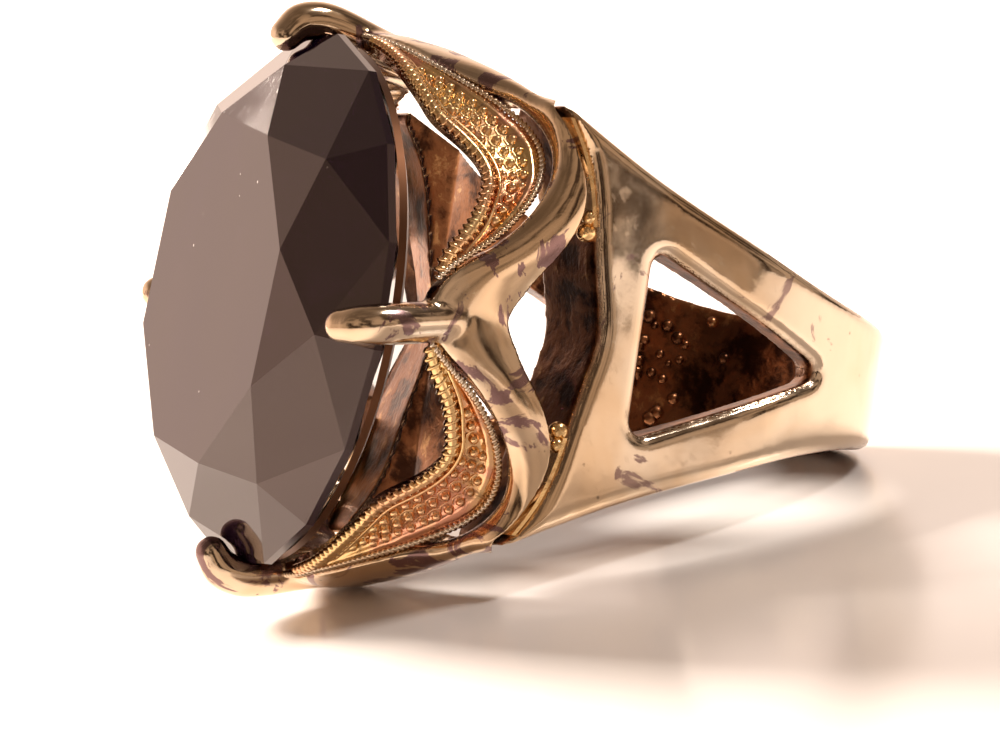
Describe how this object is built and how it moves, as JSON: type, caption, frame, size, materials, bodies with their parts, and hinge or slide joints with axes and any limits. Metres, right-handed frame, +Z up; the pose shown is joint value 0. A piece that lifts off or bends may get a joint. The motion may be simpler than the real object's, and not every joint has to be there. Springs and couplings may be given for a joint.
{
  "type": "cocktail ring",
  "caption": "Cocktail ring with a large faceted round stone in a clawed basket of beaded crescent panels, on a wide pierced shank, lying on its side.",
  "frame": {"origin": "on the surface that the ring lies on, under the middle of its bounding box", "axes": "+Z up from that surface; +X from the stone towards the palm of the shank; +Y across the ring, from the shoulder that faces the viewer towards the other"},
  "size_m": [0.032, 0.0254, 0.0245],
  "materials": {
    "silver_tone": "polished rhodium-like plating over brass, warm with wear and tarnish",
    "gold_tone": "gold and copper toned, cast beads and milgrain, darkened in the recesses",
    "solder": "brazed seam, left as flowed",
    "stone": "deep purple faceted glass, polished facets"
  },
  "bodies": {
    "root": {"arch_northeast": "silver_tone", "arch_northwest": "silver_tone", "arch_southeast": "silver_tone", "arch_southwest": "silver_tone", "claw_east": "silver_tone", "claw_north": "silver_tone", "claw_south": "silver_tone", "claw_west": "silver_tone", "grains_northeast": "gold_tone", "grains_northwest": "gold_tone", "grains_southeast": "gold_tone", "grains_southwest": "gold_tone", "panel_northeast": "gold_tone", "panel_northwest": "gold_tone", "panel_southeast": "gold_tone", "panel_southwest": "gold_tone", "ridge_northeast": "gold_tone", "ridge_northwest": "gold_tone", "ridge_southeast": "gold_tone", "ridge_southwest": "gold_tone", "rope_northeast": "gold_tone", "rope_northwest": "gold_tone", "rope_southeast": "gold_tone", "rope_southwest": "gold_tone", "seat_ring": "gold_tone", "shank": "silver_tone", "solder_northeast": "solder", "solder_northwest": "solder", "solder_southeast": "solder", "solder_southwest": "solder", "stone": "stone"}
  },
  "joints": []
}
